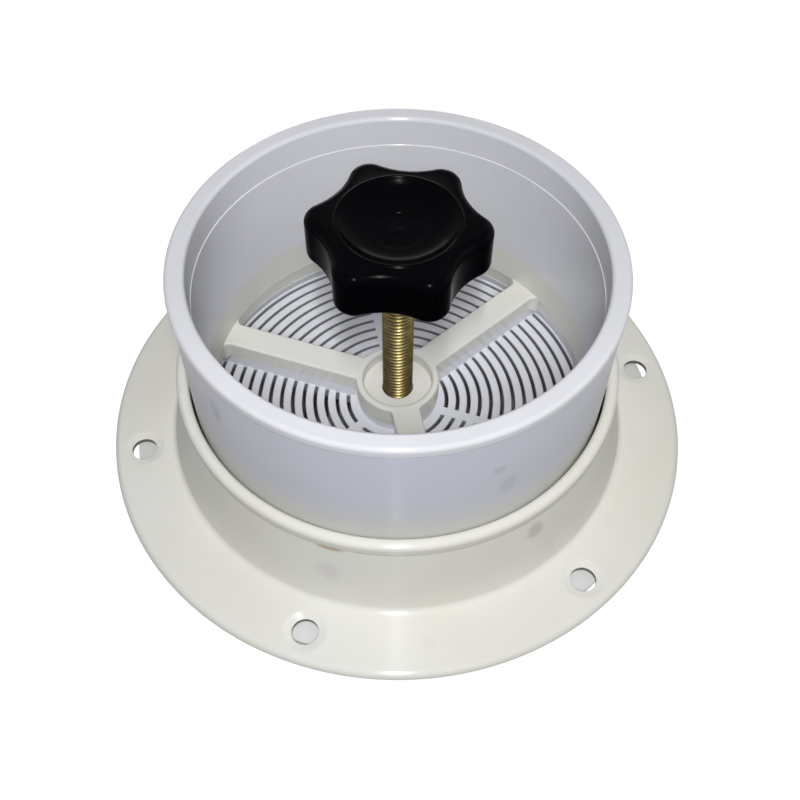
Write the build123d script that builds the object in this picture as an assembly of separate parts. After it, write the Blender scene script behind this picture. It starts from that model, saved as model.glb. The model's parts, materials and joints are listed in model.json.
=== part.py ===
"""Closable mushroom deck ventilator, seen from the cabin side, in millimetres.

The duct axis is Z and +Z points into the cabin. The origin is on that axis, in the deck
face of the outer base: the face that lies on the outside of the deck. The cap is below
it and stands on its crown. The finishing ring slides along the sleeve, above the base.
"""
import os
from math import asin, cos, degrees, radians, sin

from build123d import *

# Gaps between pieces
body_gap = 0.3
washer_gap = 0.15
running_gap = 0.05
seat_gap = 0.05
pin_gap = 0.03

# Rounds as shares of the thickness that they soften
edge_round_share = 1 / 3
root_round_share = 0.5
lip_round_share = 0.4

# Sleeve: the tube that goes through the deck
sleeve_outer_r = 52.9
sleeve_wall = 4.5
sleeve_height = 61.6
sleeve_foot_wall = 1.1
shoulder_height = 15.8
rim_overhang = 0.4
rim_height = 2.4
rim_round = 1.1
rim_band_height = 8.4
rim_band_step = 0.5

# Outer base: flange on the deck, with a coaming that the cap closes on
base_spigot_wall = 1.5
base_flange_width = 16.5
base_edge_thickness = 2.4
base_root_thickness = 4.4
coaming_wall = 4.2
coaming_height = 9.0
base_hole_r = 2.3
base_countersink_r = 4.4
base_countersink_rim = 0.6

# Spindle: threaded rod with a plain journal for the cap
spindle_r = 3.95
journal_shoulder = 0.95
journal_gap = 0.08
spindle_chamfer = 0.6
hub_nut_wall = 2.55
hub_nut_height = 6.5
hub_nut_gap = 0.1
end_nut_wall = 2.0
end_nut_height = 4.8
washer_thickness = 1.0
washer_width = 4.9

# Knob: six-lobed star on a boss with a brass insert
knob_lobes = 6
knob_angle = -5.5
knob_tip_r = 21.2
knob_valley_depth = 3.8
knob_tip_round = 4.9
knob_thickness = 12.5
knob_sink = 1.5
knob_edge_round = 2.1
knob_dish_r = 14.4
knob_dish_depth = 3.0
knob_lip_round = 0.7
knob_boss_wall = 2.6
knob_boss_height = 9.0
insert_wall = 2.05
insert_length = 13.5
knob_pin_r = 1.25
knob_pin_rise = 4.0

# Spider: cream hub and arms that carry the spindle
arm_count = 3
arm_angle = 42.0
arm_width = 7.5
arm_foot_width = 6.5
arm_round = 0.6
spider_depth = 5.7
spider_ring_draft = 1.2
hub_wall = 1.8
hub_edge_round = 0.5
hub_boss_gap = 0.6
hub_recess_depth = 3.85
spider_bore_gap = 0.15

# Grille: concentric slots between raised frames that carry the spider
grille_thickness = 4.0
grille_frame_height = 3.6
grille_rib_width = 6.2
mid_rib_width = 2.6
grille_boss_step = 0.5
grille_rim_wall = 1.1
slot_hub_gap = 2.9
slot_pitch = 3.03
slot_width = 1.0
slot_end_gap = 0.1
slot_rim_gap = 0.3
nut_floor = 1.0

# Screws that hold the grille to the spider's arms
screw_r = 1.4
screw_head_r = 2.6
screw_length = 11.6
screw_hole_gap = 0.05
screw_circle_r = 31.0

# Cap: dome with a seal rib, webs and a bearing boss
cap_base_inset = 3.0
cap_wall = 2.8
cap_brim_gap = 6.0
cap_skirt = 3.0
cap_drop = 27.0
crown_r = 26.0
cap_boss_wall = 5.9
cap_boss_height = 12.0
nut_recess_gap = 2.6
nut_recess_depth = 9.0
nut_recess_wall = 2.4
nut_recess_roof = 2.4
plug_thickness = 2.0
seal_thickness = 2.0
seal_overlap = 2.4
seal_fence_wall = 1.2
seal_fence_height = 0.9
seal_land_thickness = 2.2
seal_rib_wall = 3.2
web_count = 6
web_thickness = 2.2
web_depth = 9.5

# Finishing ring: flange, cone and lip round the sleeve
ring_sleeve_gap = 0.15
ring_height = 26.3
ring_wall = 2.3
ring_lip_width = 3.15
ring_lip_height = 2.7
ring_lip_overhang = 0.4
ring_cone_flare = 4.2
ring_root_round = 1.2
ring_guide_height = 4.5
ring_flange_width = 16.6
ring_flange_thickness = 2.1
ring_edge_slope = 0.4
ring_edge_round = 1.6
ring_hole_count = 6
ring_hole_angle = 12.0
ring_hole_inset = 7.9
ring_hole_r = 3.25
ring_countersink_r = 5.2
ring_countersink_depth = 0.9

# Radii that follow from the sizes above
sleeve_bore_r = sleeve_outer_r - sleeve_wall
counterbore_r = sleeve_outer_r - sleeve_foot_wall
seat_r = counterbore_r - seat_gap
base_bore_r = seat_r - base_spigot_wall
coaming_r = base_bore_r + coaming_wall
base_r = coaming_r + base_flange_width
base_hole_circle_r = (coaming_r + base_r) / 2
journal_r = spindle_r - journal_shoulder
cap_bore_r = journal_r + journal_gap
washer_r = cap_bore_r + washer_width
insert_r = spindle_r + insert_wall
knob_boss_r = insert_r + knob_boss_wall
hub_recess_r = knob_boss_r + hub_boss_gap
hub_r = hub_recess_r + hub_wall
grille_boss_r = hub_r - grille_boss_step
grille_rim_foot_r = seat_r - grille_rim_wall
slot_first_r = grille_boss_r + slot_hub_gap
slot_last_r = grille_rim_foot_r - slot_rim_gap - slot_width / 2
slot_count = int((slot_last_r - slot_first_r) / slot_pitch) + 1
spider_foot_bore_r = sleeve_bore_r + spider_ring_draft
cap_r = base_r - cap_base_inset
cap_boss_r = cap_bore_r + cap_boss_wall
nut_recess_r = washer_r + nut_recess_gap
seal_outer_r = coaming_r + seal_overlap
ring_bore_r = sleeve_outer_r + rim_overhang + ring_sleeve_gap
ring_lip_r = ring_bore_r + ring_lip_width
ring_cone_top_r = ring_lip_r - ring_lip_overhang
ring_cone_root_r = ring_cone_top_r + ring_cone_flare
ring_r = ring_cone_root_r + ring_flange_width
ring_edge_r = ring_r - ring_edge_slope
ring_hole_circle_r = ring_r - ring_hole_inset

# Levels that follow from the sizes above
spider_bottom = shoulder_height - spider_depth
hub_floor = shoulder_height - hub_recess_depth
grille_top = spider_bottom - grille_frame_height
grille_bottom = grille_top - grille_thickness
ring_bottom = body_gap
ring_flange_top = ring_bottom + ring_flange_thickness
ring_top = ring_bottom + ring_height
seal_top = -coaming_height - body_gap
seal_land = seal_top - seal_thickness
brim_top = -cap_brim_gap
dome_top = brim_top - cap_skirt
crown = dome_top - cap_drop
nut_recess_top = crown + nut_recess_depth
cap_boss_top = nut_recess_top + cap_boss_height
spindle_shoulder = cap_boss_top + washer_thickness + washer_gap
end_nut_top = nut_recess_top - washer_thickness - washer_gap
end_nut_bottom = end_nut_top - end_nut_height
knob_bottom = sleeve_height - knob_sink
knob_top = knob_bottom + knob_thickness
boss_bottom = knob_bottom - knob_boss_height
insert_top = boss_bottom + insert_length
knob_pin_height = boss_bottom + knob_pin_rise
screw_top = grille_bottom + screw_length


def turned(points, rounds=None):
    """Solid of revolution of a closed outline of (radius, height) points."""
    if rounds:
        outline = FilletPolyline(*points, radius=rounds, close=True)
    else:
        outline = Polyline(*points, close=True)
    return revolve(Plane.XZ * make_face(outline), Axis.Z)


def cylinder(radius, low, high):
    """Upright cylinder on the duct axis between two heights."""
    return Pos(0, 0, low) * extrude(Circle(radius), high - low)


def tube(inner, outer, low, high):
    """Upright tube on the duct axis between two heights."""
    return Pos(0, 0, low) * extrude(Circle(outer) - Circle(inner), high - low)


def hexagon(wall, low, high):
    """Upright hexagonal prism that leaves a wall round the spindle at its flats."""
    outline = RegularPolygon(spindle_r + wall, 6, major_radius=False)
    return Pos(0, 0, low) * extrude(outline, high - low)


def around(count, first_angle, piece):
    """Copies of a piece, evenly spaced round the duct axis."""
    return [Rot(0, 0, first_angle + i * 360 / count) * piece for i in range(count)]


def make_sleeve():
    """Tube with a rounded rim at the cabin end and a counterbore at the deck end."""
    rim_r = sleeve_outer_r + rim_overhang
    band_r = sleeve_bore_r - rim_band_step
    band_bottom = sleeve_height - rim_band_height
    points = [
        (counterbore_r, 0),
        (sleeve_outer_r, 0),
        (sleeve_outer_r, sleeve_height - rim_height),
        (rim_r, sleeve_height - rim_height),
        (rim_r, sleeve_height),
        (band_r, sleeve_height),
        (band_r, band_bottom),
        (sleeve_bore_r, band_bottom - rim_band_step),
        (sleeve_bore_r, shoulder_height),
        (counterbore_r, shoulder_height),
    ]
    rounds = [0, 0, 0, 0, rim_round, rim_round, 0, 0, 0, 0]
    return turned(points, rounds)


def make_outer_base():
    """Deck flange with the duct coaming, a seat for the grille and screw holes."""
    points = [
        (base_bore_r, grille_bottom),
        (seat_r, grille_bottom),
        (seat_r, 0),
        (base_r, 0),
        (base_r, -base_edge_thickness),
        (coaming_r, -base_root_thickness),
        (coaming_r, -coaming_height),
        (base_bore_r, -coaming_height),
    ]
    edge_round = base_edge_thickness * edge_round_share
    root_round = base_root_thickness * root_round_share
    coaming_round = coaming_wall * edge_round_share
    rounds = [0, 0, 0, 0, edge_round, root_round, coaming_round, coaming_round]
    base = turned(points, rounds)
    sink_depth = base_countersink_r - base_hole_r
    hole_at = Pos(base_hole_circle_r, 0, -base_root_thickness)
    hole = hole_at * extrude(Circle(base_hole_r), base_root_thickness)
    sink = Cone(base_countersink_r, base_hole_r, sink_depth, align=(Align.CENTER, Align.CENTER, Align.MIN))
    sink_at = Pos(base_hole_circle_r, 0, base_countersink_rim - base_root_thickness)
    first_hole = ring_hole_angle + 180 / ring_hole_count
    base -= around(ring_hole_count, first_hole, hole)
    base -= around(ring_hole_count, first_hole, sink_at * sink)
    return base


def screw_hole():
    """Countersunk hole up through a grille rib and blind into the spider's arm."""
    hole_top = screw_top + body_gap
    hole = extrude(Circle(screw_r + screw_hole_gap), hole_top - grille_bottom)
    return Pos(screw_circle_r, 0, grille_bottom) * (hole + screw_head(screw_hole_gap))


def screw_head(growth):
    """Flat-bottomed cone of a countersunk head, upside down at the origin."""
    depth = screw_head_r - screw_r
    upright = (Align.CENTER, Align.CENTER, Align.MIN)
    return Cone(screw_head_r + growth, screw_r + growth, depth, align=upright)


def make_spider_screws():
    """Three screws that hold the grille to the spider's arms, in one group."""
    shank = extrude(Circle(screw_r), screw_length)
    screw = Pos(screw_circle_r, 0, grille_bottom) * (shank + screw_head(0))
    return Compound(around(arm_count, arm_angle, screw))


def make_spider():
    """Hub with a recessed face, three arms and the ring that seats in the sleeve."""
    ring = turned([
        (sleeve_bore_r, shoulder_height),
        (seat_r, shoulder_height),
        (seat_r, spider_bottom),
        (spider_foot_bore_r, spider_bottom),
    ])
    hub = turned(
        [
            (0, spider_bottom),
            (hub_r, spider_bottom),
            (hub_r, shoulder_height),
            (hub_recess_r, shoulder_height),
            (hub_recess_r, hub_floor),
            (0, hub_floor),
        ],
        [0, 0, hub_edge_round, hub_edge_round, 0, 0],
    )
    arm_start = (hub_recess_r + hub_r) / 2
    arm_end = (sleeve_bore_r + seat_r) / 2
    section = FilletPolyline(
        (-arm_foot_width / 2, spider_bottom),
        (arm_foot_width / 2, spider_bottom),
        (arm_width / 2, shoulder_height),
        (-arm_width / 2, shoulder_height),
        radius=[0, 0, arm_round, arm_round],
        close=True,
    )
    arm = extrude(Plane.YZ.offset(arm_start) * make_face(section), arm_end - arm_start)
    spider = hub + around(arm_count, arm_angle, arm)
    spider += ring
    spider -= cylinder(spindle_r + spider_bore_gap, spider_bottom, shoulder_height)
    spider -= around(arm_count, arm_angle, screw_hole())
    return spider


def make_grille():
    """Plate with rings of slots, and the boss, ribs and rim that carry the spider."""
    plate = cylinder(seat_r, grille_bottom, grille_top)
    slots = Sketch()
    for i in range(slot_count):
        middle = slot_first_r + i * slot_pitch
        slots += Circle(middle + slot_width / 2) - Circle(middle - slot_width / 2)
    arm_bar = Pos(seat_r / 2, 0) * Rectangle(seat_r, grille_rib_width + 2 * slot_end_gap)
    mid_bar = Pos(seat_r / 2, 0) * Rectangle(seat_r, mid_rib_width)
    slots -= around(arm_count, arm_angle, arm_bar)
    slots -= around(arm_count, arm_angle + 180 / arm_count, mid_bar)
    plate -= Pos(0, 0, grille_bottom) * extrude(slots, grille_thickness)
    rim = turned([
        (grille_rim_foot_r, grille_top),
        (seat_r, grille_top),
        (seat_r, spider_bottom),
        (spider_foot_bore_r, spider_bottom),
    ])
    boss = cylinder(grille_boss_r, grille_bottom, spider_bottom)
    rib_start = grille_boss_r / 2
    rib_end = (grille_rim_foot_r + seat_r) / 2
    rib_outline = Pos((rib_start + rib_end) / 2, 0) * Rectangle(rib_end - rib_start, grille_rib_width)
    rib = Pos(0, 0, grille_top) * extrude(rib_outline, grille_frame_height)
    grille = plate + boss
    grille += around(arm_count, arm_angle, rib)
    grille += rim
    grille -= hexagon(hub_nut_wall + hub_nut_gap, grille_bottom + nut_floor, spider_bottom)
    grille -= cylinder(spindle_r + spider_bore_gap, grille_bottom, spider_bottom)
    grille -= around(arm_count, arm_angle, screw_hole())
    return grille


def make_hub_nut():
    """Brass nut held between the grille's boss and the spider's hub."""
    low = grille_bottom + nut_floor
    nut = hexagon(hub_nut_wall, low, low + hub_nut_height)
    return nut - cylinder(spindle_r + running_gap, low, low + hub_nut_height)


def make_cabin_ring():
    """Finishing ring: thin flange, hollow cone and a rounded lip round the sleeve."""
    lip_bottom = ring_top - ring_lip_height
    inner_root_r = ring_cone_root_r - ring_wall
    inner_top_r = ring_cone_top_r + ring_lip_overhang - ring_wall
    guide_bottom = ring_top - ring_guide_height
    points = [
        (inner_root_r, ring_bottom),
        (ring_r, ring_bottom),
        (ring_edge_r, ring_flange_top),
        (ring_cone_root_r, ring_flange_top),
        (ring_cone_top_r, lip_bottom),
        (ring_lip_r, lip_bottom),
        (ring_lip_r, ring_top),
        (ring_bore_r, ring_top),
        (ring_bore_r, guide_bottom),
        (inner_top_r, guide_bottom - ring_wall),
    ]
    lip_round = ring_lip_width * lip_round_share
    rounds = [0, 0, ring_edge_round, ring_root_round, 0, 0, lip_round, lip_round, 0, 0]
    ring = turned(points, rounds)
    hole = Pos(ring_hole_circle_r, 0, ring_bottom) * extrude(Circle(ring_hole_r), ring_flange_thickness)
    sink = Cone(ring_hole_r, ring_countersink_r, ring_countersink_depth,
                align=(Align.CENTER, Align.CENTER, Align.MAX))
    sink_at = Pos(ring_hole_circle_r, 0, ring_flange_top)
    ring -= around(ring_hole_count, ring_hole_angle, hole)
    ring -= around(ring_hole_count, ring_hole_angle, sink_at * sink)
    return ring


def dome_arc(inset, inner_r, outer_r):
    """Part of the dome's quarter ellipse between two radii, inset from its outer face."""
    across = cap_r - crown_r - inset
    down = cap_drop - inset
    start = 270 + degrees(asin((inner_r - crown_r) / across))
    end = 270 + degrees(asin((outer_r - crown_r) / across))
    return EllipticalCenterArc((crown_r, dome_top), across, down, start, arc_size=end - start)


def make_cap():
    """Dome with a flat crown, a seal rib, radial webs and the spindle's bearing boss."""
    inner_crown = crown + cap_wall
    inner_skirt_r = cap_r - cap_wall
    recess_outer_r = nut_recess_r + nut_recess_wall
    recess_roof = nut_recess_top + nut_recess_roof
    outline = dome_arc(0, crown_r, cap_r)
    outline += dome_arc(cap_wall, crown_r, inner_skirt_r)
    outline += Polyline(
        (inner_skirt_r, dome_top),
        (inner_skirt_r, brim_top),
        (cap_r, brim_top),
        (cap_r, dome_top),
    )
    outline += Polyline(
        (crown_r, crown),
        (nut_recess_r, crown),
        (nut_recess_r, nut_recess_top),
        (cap_bore_r, nut_recess_top),
        (cap_bore_r, cap_boss_top),
        (cap_boss_r, cap_boss_top),
        (cap_boss_r, recess_roof),
        (recess_outer_r, recess_roof),
        (recess_outer_r, inner_crown),
        (crown_r, inner_crown),
    )
    cap = revolve(Plane.XZ * make_face(outline), Axis.Z)
    fence_r = seal_outer_r + seal_fence_wall
    land_bottom = seal_land - seal_land_thickness
    rib_middle_r = (base_bore_r + fence_r) / 2
    rib_inner_r = rib_middle_r - seal_rib_wall / 2
    rib_outer_r = rib_middle_r + seal_rib_wall / 2
    rib_foot = (dome_arc(cap_wall / 2, crown_r, rib_middle_r) @ 1).Y
    cap += turned([
        (base_bore_r, seal_land),
        (seal_outer_r, seal_land),
        (seal_outer_r, seal_land + seal_fence_height),
        (fence_r, seal_land + seal_fence_height),
        (fence_r, land_bottom),
        (rib_outer_r, land_bottom - seal_land_thickness),
        (rib_outer_r, rib_foot),
        (rib_inner_r, rib_foot),
        (rib_inner_r, land_bottom - seal_land_thickness),
        (base_bore_r, land_bottom),
    ])
    web_start_r = recess_outer_r - nut_recess_wall / 2
    web_foot = crown + cap_wall / 2
    web_arc = dome_arc(cap_wall / 2, crown_r, rib_middle_r)
    outline = web_arc + Polyline(
        web_arc @ 1,
        (rib_middle_r, inner_crown + web_depth),
        (web_start_r, inner_crown + web_depth),
        (web_start_r, web_foot),
        (crown_r, web_foot),
    )
    web = extrude(Plane.XZ * make_face(outline), web_thickness / 2, both=True)
    cap += around(web_count, arm_angle, web)
    return cap


def make_cap_seal():
    """Rubber ring in the cap's groove."""
    return tube(base_bore_r, seal_outer_r, seal_land, seal_top)


def make_washer(low):
    """Flat washer round the spindle's journal."""
    return tube(cap_bore_r, washer_r, low, low + washer_thickness)


def make_end_nut():
    """Small nut fixed on the journal, under the cap's bearing boss."""
    nut = hexagon(end_nut_wall - journal_shoulder, end_nut_bottom, end_nut_top)
    return nut - cylinder(journal_r, end_nut_bottom, end_nut_top)


def make_crown_plug():
    """Flush plug over the end nut."""
    return cylinder(nut_recess_r, crown, crown + plug_thickness)


def crosswise(radius, half_length):
    """Cylinder across the knob's boss, centred on the duct axis."""
    rod = extrude(Plane.YZ * Circle(radius), half_length, both=True)
    return Pos(0, 0, knob_pin_height) * rod


def knob_pin_hole():
    """Hole for the spring pin, through the knob's boss."""
    return crosswise(knob_pin_r + pin_gap, knob_boss_r + body_gap)


def make_knob_pin():
    """Spring pin that locks the knob to the spindle."""
    return crosswise(knob_pin_r, knob_boss_r - body_gap)


def make_spindle():
    """Rod with a turned-down journal at the cap end."""
    points = [
        (0, end_nut_bottom),
        (journal_r, end_nut_bottom),
        (journal_r, spindle_shoulder),
        (spindle_r, spindle_shoulder),
        (spindle_r, insert_top - spindle_chamfer),
        (spindle_r - spindle_chamfer, insert_top),
        (0, insert_top),
    ]
    return turned(points) - knob_pin_hole()


def make_knob_insert():
    """Brass insert moulded into the knob's boss."""
    return tube(spindle_r, insert_r, boss_bottom, insert_top) - knob_pin_hole()


def star_outline():
    """Star of tangent arcs: round lobes, with wide hollows between them."""
    half_step = radians(180 / knob_lobes)
    knob_valley_r = knob_tip_r - knob_valley_depth
    tip_centre = knob_tip_r - knob_tip_round
    slack = knob_tip_round - knob_valley_r
    valley_centre = (tip_centre**2 - slack**2) / (2 * (slack + tip_centre * cos(half_step)))
    valley_round = valley_centre - knob_valley_r
    outline = Curve()
    share = knob_tip_round / (knob_tip_round + valley_round)
    for i in range(knob_lobes):
        turn = 2 * i * half_step
        tip = Vector(cos(turn), sin(turn))
        valley = Vector(cos(turn + half_step), sin(turn + half_step))
        before = Vector(cos(turn - half_step), sin(turn - half_step))
        after = Vector(cos(turn + 2 * half_step), sin(turn + 2 * half_step))
        start = tip * tip_centre * (1 - share) + before * valley_centre * share
        end = tip * tip_centre * (1 - share) + valley * valley_centre * share
        next_start = after * tip_centre * (1 - share) + valley * valley_centre * share
        outline += ThreePointArc(start, tip * knob_tip_r, end)
        outline += ThreePointArc(end, valley * knob_valley_r, next_start)
    return make_face(outline)


def make_knob():
    """Six-lobed star knob with a dished face and a boss for its insert."""
    star = Pos(0, 0, knob_bottom) * extrude(star_outline(), knob_thickness)
    star = fillet(star.edges().filter_by(Plane.XY), knob_edge_round)
    dish_sphere_r = (knob_dish_r**2 + knob_dish_depth**2) / (2 * knob_dish_depth)
    dish = Pos(0, 0, knob_top + dish_sphere_r - knob_dish_depth) * Sphere(dish_sphere_r)
    knob = star - dish
    dish_edge = knob.edges().filter_by(GeomType.CIRCLE).sort_by(Axis.Z)[-1]
    knob = fillet(dish_edge, knob_lip_round)
    knob += cylinder(knob_boss_r, boss_bottom, knob_bottom + knob_edge_round)
    knob -= cylinder(insert_r, boss_bottom, insert_top)
    return Rot(0, 0, knob_angle) * knob - knob_pin_hole()


pieces = {
    "outer_base": make_outer_base(),
    "sleeve": make_sleeve(),
    "spider": make_spider(),
    "grille": make_grille(),
    "hub_nut": make_hub_nut(),
    "cabin_ring": make_cabin_ring(),
    "cap": make_cap(),
    "cap_seal": make_cap_seal(),
    "thrust_washer": make_washer(cap_boss_top),
    "cap_washer": make_washer(nut_recess_top - washer_thickness),
    "crown_plug": make_crown_plug(),
    "spindle": make_spindle(),
    "end_nut": make_end_nut(),
    "knob": make_knob(),
    "knob_insert": make_knob_insert(),
    "knob_pin": make_knob_pin(),
    "spider_screws": make_spider_screws(),
}

os.makedirs("parts", exist_ok=True)
for name, piece in pieces.items():
    export_step(piece, f"parts/{name}.step")
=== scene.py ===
"""Looks of a closable deck ventilator, seen from the cabin side, in metres.

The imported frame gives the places. Over it come smooth moulded skins, a cut thread, the
finishes and a plain studio. The duct axis is Z, and +Z points into the cabin.
"""
import json

import bmesh
import bpy
import numpy as np
from bpy.props import FloatProperty, FloatVectorProperty, IntProperty, PointerProperty
from bpy.types import Operator, Panel, PropertyGroup
from mathutils import Matrix, Vector


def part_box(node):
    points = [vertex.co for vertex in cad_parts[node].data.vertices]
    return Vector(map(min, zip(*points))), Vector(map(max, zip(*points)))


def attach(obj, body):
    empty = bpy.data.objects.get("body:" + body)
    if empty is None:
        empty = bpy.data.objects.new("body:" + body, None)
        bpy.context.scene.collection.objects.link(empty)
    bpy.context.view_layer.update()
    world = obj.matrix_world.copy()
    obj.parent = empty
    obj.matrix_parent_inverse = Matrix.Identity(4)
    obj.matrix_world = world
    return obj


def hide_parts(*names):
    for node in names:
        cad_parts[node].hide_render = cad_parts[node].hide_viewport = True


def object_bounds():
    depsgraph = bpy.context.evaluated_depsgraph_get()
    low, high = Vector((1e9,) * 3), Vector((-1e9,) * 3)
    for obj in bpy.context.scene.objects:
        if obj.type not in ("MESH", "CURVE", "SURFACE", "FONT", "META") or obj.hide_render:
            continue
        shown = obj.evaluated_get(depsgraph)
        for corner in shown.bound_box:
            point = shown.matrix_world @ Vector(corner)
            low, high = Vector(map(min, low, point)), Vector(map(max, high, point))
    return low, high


bl_info = {
    "name": "Deck ventilator looks",
    "version": (1, 0, 0),
    "blender": (4, 5, 0),
    "location": "3D View > Sidebar > Ventilator",
    "description": "Moulded skins, thread, finishes and studio for a closable deck ventilator",
    "category": "Object",
}

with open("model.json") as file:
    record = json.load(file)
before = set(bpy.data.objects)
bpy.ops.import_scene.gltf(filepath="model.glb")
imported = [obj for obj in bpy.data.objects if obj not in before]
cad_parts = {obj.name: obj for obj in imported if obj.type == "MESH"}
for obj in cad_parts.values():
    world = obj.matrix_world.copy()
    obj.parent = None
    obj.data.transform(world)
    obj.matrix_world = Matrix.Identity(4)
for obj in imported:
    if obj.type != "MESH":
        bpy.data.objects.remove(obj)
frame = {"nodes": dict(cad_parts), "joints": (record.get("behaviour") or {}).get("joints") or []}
cad_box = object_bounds()

mm = 0.001
sleeve_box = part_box("sleeve")
ring_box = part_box("cabin_ring")
spider_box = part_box("spider")
grille_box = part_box("grille")
knob_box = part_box("knob")
rod_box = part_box("spindle")
insert_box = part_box("knob_insert")
pin_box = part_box("knob_pin")

# Sleeve details
rim_overhang = 0.4 * mm
rim_height = 2.4 * mm
rim_round = 1.1 * mm
rim_groove = 0.35 * mm
rim_band_height = 8.4 * mm
rim_band_step = 0.2 * mm
liner_top = 24.8 * mm
inside_radius = 50.0 * mm
foot_wall = 1.1 * mm

# Trim ring details
ring_bore = 53.45 * mm
ring_wall = 2.3 * mm
lip_width = 3.15 * mm
lip_height = 2.7 * mm
lip_overhang = 0.15 * mm
lip_slope = 0.9 * mm
cone_flare = 4.0 * mm
root_round = 1.7 * mm
flange_thickness = 2.1 * mm
edge_slope = 0.4 * mm
edge_round = 1.6 * mm
under_round = 0.4 * mm
guide_height = 4.5 * mm
hole_circle = 69.1 * mm
hole_count = 6
first_hole = 12
hole_rim = 5.9 * mm
countersink_radius = 5.3 * mm
countersink_depth = 0.65 * mm
countersink_round = 2.5 * mm

# Half of a screw hole's window: degrees round the ring, and millimetres across its flange
hole_reach = 6

# Spider details
arm_count = 3
arm_turn = 42.0
arm_width = 7.5 * mm
arm_foot_width = 6.5 * mm
arm_round = 0.7 * mm
arm_fillet = 1.8 * mm
hub_radius = 11.0 * mm
hub_recess_radius = 9.2 * mm
hub_recess_depth = 3.85 * mm
hub_round = 0.6 * mm
ring_foot_bore = 49.6 * mm
rod_clearance = 0.15 * mm

# Grille details
plate_thickness = 4.0 * mm
rib_width = 6.2 * mm
rib_ledge = 0.1 * mm
mid_rib_width = 2.6 * mm
boss_radius = 10.5 * mm
rim_foot_radius = 50.65 * mm
nut_pocket = 6.6 * mm
nut_floor = 1.0 * mm
first_slot = 13.4 * mm
slot_pitch = 3.03 * mm
slot_width = 1.0 * mm
slot_count = 13
bar_round = 0.35 * mm
shell_step = 0.03 * mm
bar_bite = 0.3 * mm
bar_draft = 0.15 * mm
bar_spread = 0.05 * mm
ledge_round = 0.05 * mm

# Knob details
lobe_count = 6
knob_turn = -5.5
tip_round = 4.9 * mm
valley_depth = 3.8 * mm
knob_thickness = 12.5 * mm
knob_edge_round = 2.1 * mm
dish_radius = 13.45 * mm
bead_width = 1.3 * mm
bead_height = 0.4 * mm
dimple_radius = 5.6 * mm
dimple_depth = 0.3 * mm
dimple_edge = 0.6 * mm
dimple_softness = 0.08 * mm
nib_radius = 0.9 * mm
nib_height = 0.3 * mm
boss_wall = 2.6 * mm
boss_round = 0.6 * mm
boss_root_round = 0.5 * mm
boss_face = 1.2 * mm
face_inset = 0.1 * mm

# Rod details
journal_radius = 3.0 * mm
journal_top = -13.85 * mm
journal_round = 0.4 * mm
thread_runout = 1.2 * mm
crest_flat = 0.12
flank_share = 0.72

# Pin details
pin_radius = 1.25 * mm
pin_proud = 0.7 * mm
pin_chamfer = 0.6 * mm
pin_tip = 0.8 * pin_radius
pin_round = 0.2 * mm

# Round of corners that state none of their own
tiny_round = 0.18 * mm

# Places of colour: the width of a tint's edge, and a ramp that lets every radius through
soft_edge = 0.2 * mm
everywhere = (0, 1 * mm)

# Stains: centre and reach along X, Y and Z in millimetres, strength and screen colour
RING_STAINS = (
    ((32.8, -46.9, 18.6), (2.8, 2.8, 3.0), 0.4, (150, 146, 140)),
    ((-15.7, -55.8, 14.6), (3.6, 3.4, 3.4), 0.16, (150, 146, 140)),
    ((-14.9, -54.4, 22.8), (4.0, 2.0, 0.9), 0.7, (176, 148, 118)),
)
SLEEVE_STAINS = (
    ((22.0, -48.1, 46.8), (1.8, 1.8, 1.8), 0.2, (132, 136, 146)),
    ((24.5, -46.9, 39.2), (2.6, 2.6, 4.0), 0.16, (132, 136, 146)),
    ((-39.5, -35.2, 49.6), (2.2, 2.2, 4.5), 0.35, (132, 136, 146)),
)

# Studio places in metres: each lamp's and its width and height, the camera's aim, the floor
LAMPS = {
    "key": ((0.0, -0.245, 0.385), (0.015, 0.17)),
    "spark": ((0.01, -0.17, 0.29), (0.01, 0.01)),
    "fill": ((0.50, 0.0, 0.25), (0.30, 0.30)),
    "back": ((-0.05, 0.60, 0.12), (0.40, 0.20)),
}
camera_aim = (0.68 * mm, 0, 5.5 * mm)
floor_reach = 10.0
floor_gap = 0.1 * mm


def tone(red, green, blue):
    """Linear colour of screen values from 0 to 255, by the usual screen curve."""
    screen = np.array([red, green, blue]) / 255
    linear = np.where(screen <= 0.04045, screen / 12.92, ((screen + 0.055) / 1.055) ** 2.4)
    return (*linear.tolist(), 1.0)


def length(name, description, default):
    """Property that holds a length."""
    return FloatProperty(name=name, description=description, default=default, unit="LENGTH")


def power(name, description, default):
    """Property that holds a lamp's power."""
    return FloatProperty(name=name, description=description, default=default, subtype="POWER")


def colour(name, description, *screen):
    """Property that holds a colour, with its default in screen values."""
    return FloatVectorProperty(
        name=name, description=description, default=tone(*screen), subtype="COLOR", size=4)


class VentilatorSizes(PropertyGroup):
    """Sizes that a user would change."""

    sleeve_wall: length("Sleeve wall", "Wall of the duct sleeve", 4.5 * mm)
    hole_radius: length("Screw hole radius", "Radius of the trim ring's screw holes", 3.25 * mm)
    dish_depth: length("Dish depth", "Depth of the hollow in the knob's face", 3.0 * mm)
    thread_pitch: length("Thread pitch", "Rise of the rod's thread in one turn", 1.25 * mm)
    thread_depth: length("Thread depth", "Crest to root of the rod's thread", 0.62 * mm)
    columns: IntProperty(
        name="Columns", description="Steps round each turned skin, a multiple of 360",
        default=360, min=360)


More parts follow.
